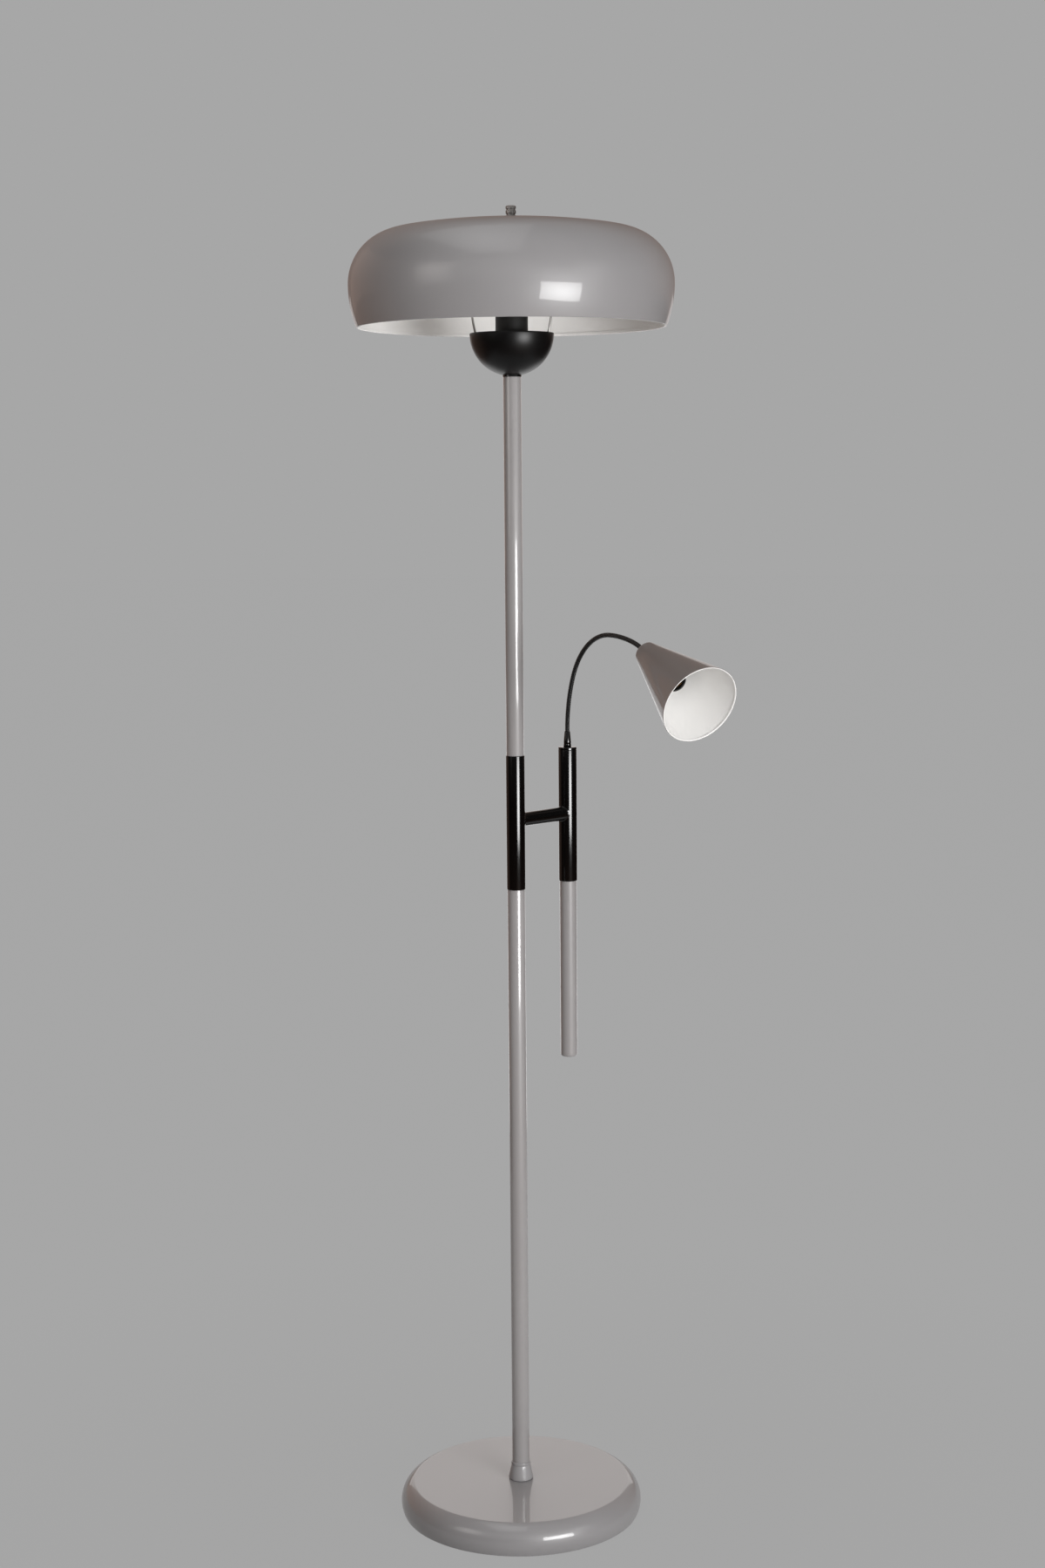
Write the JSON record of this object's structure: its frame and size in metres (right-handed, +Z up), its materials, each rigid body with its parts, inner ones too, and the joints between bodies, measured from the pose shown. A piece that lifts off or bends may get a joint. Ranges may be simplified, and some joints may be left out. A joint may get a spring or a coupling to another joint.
{
  "type": "floor lamp",
  "caption": "Torchiere floor lamp: domed shade over a cup and harp, slim pole on a weighted disc base, cone reading light on a gooseneck held by a side bracket.",
  "frame": {"origin": "on the floor, at the axis of the pole", "axes": "+Z up along the pole, the lamp's front towards -Y, +X to the right as seen from the front"},
  "size_m": [0.4158, 0.382, 1.4937],
  "materials": {
    "black_gloss_paint": "gloss enamel",
    "black_plastic": "moulded, matt",
    "black_rubber": "moulded",
    "black_satin_paint": "satin powder coat",
    "brass": "plain",
    "cast_weight": "raw casting",
    "dark_nickel": "dark nickel plate",
    "felt": "pressed felt",
    "flex_sheath": "round sheath",
    "grey_gloss_paint": "gloss enamel",
    "spring_wire": "bright nickel plated",
    "white_plastic": "moulded, matt",
    "zinc_steel": "zinc plated"
  },
  "bodies": {
    "stand": {"base_shell": "grey_gloss_paint", "base_weight": "cast_weight", "base_plate": "zinc_steel", "base_plate_screws": "zinc_steel", "felt_pad": "felt", "cord_grommet": "black_rubber", "foot_nut": "zinc_steel", "foot_washer": "zinc_steel", "foot_nipple": "zinc_steel", "foot_insert": "brass", "foot_collar": "grey_gloss_paint", "lower_pole": "grey_gloss_paint", "pole_core": "zinc_steel", "upper_pole": "grey_gloss_paint", "top_insert": "brass", "top_nipple": "zinc_steel", "neck_ring": "grey_gloss_paint", "cup": "black_satin_paint", "cup_nut": "zinc_steel", "harp_saddle": "spring_wire", "harp_wire_right": "spring_wire", "harp_wire_left": "spring_wire", "harp_stud": "zinc_steel", "lampholder_cap": "black_plastic", "lampholder_barrel": "black_plastic", "lampholder_block": "black_plastic", "lampholder_thread": "brass", "lampholder_contact": "brass", "shade_washer": "zinc_steel", "main_shade": "grey_gloss_paint", "finial_nut": "dark_nickel", "main_cable": "flex_sheath"},
    "bracket": {"pole_sleeve": "black_satin_paint", "arm_sleeve": "black_satin_paint", "crossbar": "black_satin_paint", "lower_bush": "white_plastic", "upper_bush": "white_plastic", "brake_shoe": "white_plastic", "brake_cushion": "black_rubber"},
    "arm": {"arm_tube": "grey_gloss_paint", "arm_cap": "black_satin_paint", "arm_end_plug": "grey_gloss_paint"},
    "neck_root": {"neck_ferrule": "black_satin_paint", "neck_link_1": "black_gloss_paint"},
    "neck_2": {"neck_link_2": "black_gloss_paint"},
    "neck_3": {"neck_link_3": "black_gloss_paint"},
    "neck_4": {"neck_link_4": "black_gloss_paint"},
    "head": {"neck_link_5": "black_gloss_paint", "cone_boot": "black_satin_paint", "cone_shade": "grey_gloss_paint", "cone_nut": "zinc_steel", "reading_holder": "black_plastic", "reading_thread": "brass", "reading_contact": "brass"}
  },
  "joints": [
    {"name": "bracket_swivel", "type": "hinge", "parent": "stand", "child": "bracket", "pos_m": [0, 0, 0.812], "axis": [0, 0, 1], "range_deg": [-90, 90]},
    {"name": "arm_slide", "type": "slide", "parent": "bracket", "child": "arm", "axis": [0, 0, 1], "range_m": [0, 0.07]},
    {"name": "neck_turn", "type": "hinge", "parent": "arm", "child": "neck_root", "pos_m": [0.0601, 0.0601, 0.89], "axis": [0, 0, 1], "range_deg": [-15, 180]},
    {"name": "neck_bend_1", "type": "hinge", "parent": "neck_root", "child": "neck_2", "pos_m": [0.06322, 0.05472, 0.95141], "axis": [0.8652, 0.5015, 0], "range_deg": [-20, 20]},
    {"name": "neck_bend_2", "type": "hinge", "parent": "neck_2", "child": "neck_3", "pos_m": [0.0743, 0.03561, 0.9938], "axis": [0.8652, 0.5015, 0], "range_deg": [-20, 20]},
    {"name": "neck_bend_3", "type": "hinge", "parent": "neck_3", "child": "neck_4", "pos_m": [0.0946, 0.0006, 1.01888], "axis": [0.8652, 0.5015, 0], "range_deg": [-20, 20]},
    {"name": "neck_bend_4", "type": "hinge", "parent": "neck_4", "child": "head", "pos_m": [0.11861, -0.04083, 1.02082], "axis": [0.8652, 0.5015, 0], "range_deg": [-20, 20]}
  ],
  "couplings": [
    {"joint": "neck_bend_2", "follows": "neck_bend_1", "ratio": 1},
    {"joint": "neck_bend_4", "follows": "neck_bend_3", "ratio": 1}
  ]
}
